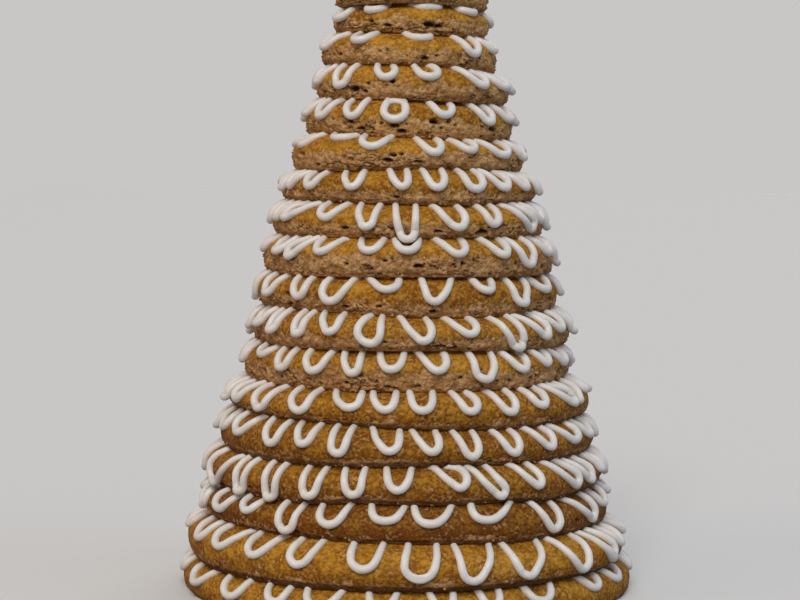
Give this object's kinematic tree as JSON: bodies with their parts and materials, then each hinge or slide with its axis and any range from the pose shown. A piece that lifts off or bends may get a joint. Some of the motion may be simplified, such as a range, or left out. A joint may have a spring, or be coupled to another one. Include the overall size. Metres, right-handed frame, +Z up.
{
  "type": "kransekake ring cake",
  "caption": "Tall cone-shaped tower of baked almond rings with a hollow core, each ring edged with looping white icing and resting on the larger ring under it.",
  "frame": {"origin": "middle of the tower's base, on the plane that the lowest ring stands on", "axes": "+Z up along the tower's axis, towards the smallest ring; +X to the right and -Y towards the viewer"},
  "size_m": [0.2067, 0.2057, 0.306],
  "materials": {
    "baked_almond_dough": "matt baked crust, golden brown over a paler cracked side",
    "white_icing": "satin set sugar icing"
  },
  "bodies": {
    "root": {"ring_01": "baked_almond_dough", "ring_02": "baked_almond_dough", "ring_03": "baked_almond_dough", "ring_04": "baked_almond_dough", "ring_05": "baked_almond_dough", "ring_06": "baked_almond_dough", "ring_07": "baked_almond_dough", "ring_08": "baked_almond_dough", "ring_09": "baked_almond_dough", "ring_10": "baked_almond_dough", "ring_11": "baked_almond_dough", "ring_12": "baked_almond_dough", "ring_13": "baked_almond_dough", "ring_14": "baked_almond_dough", "ring_15": "baked_almond_dough", "ring_16": "baked_almond_dough", "ring_17": "baked_almond_dough", "ring_18": "baked_almond_dough", "ring_19": "baked_almond_dough", "ring_20": "baked_almond_dough", "icing_01": "white_icing", "icing_02": "white_icing", "icing_03": "white_icing", "icing_04": "white_icing", "icing_05": "white_icing", "icing_06": "white_icing", "icing_07": "white_icing", "icing_08": "white_icing", "icing_09": "white_icing", "icing_10": "white_icing", "icing_11": "white_icing", "icing_12": "white_icing", "icing_13": "white_icing", "icing_14": "white_icing", "icing_15": "white_icing", "icing_16": "white_icing", "icing_17": "white_icing", "icing_18": "white_icing", "icing_19": "white_icing", "icing_20": "white_icing"}
  },
  "joints": []
}
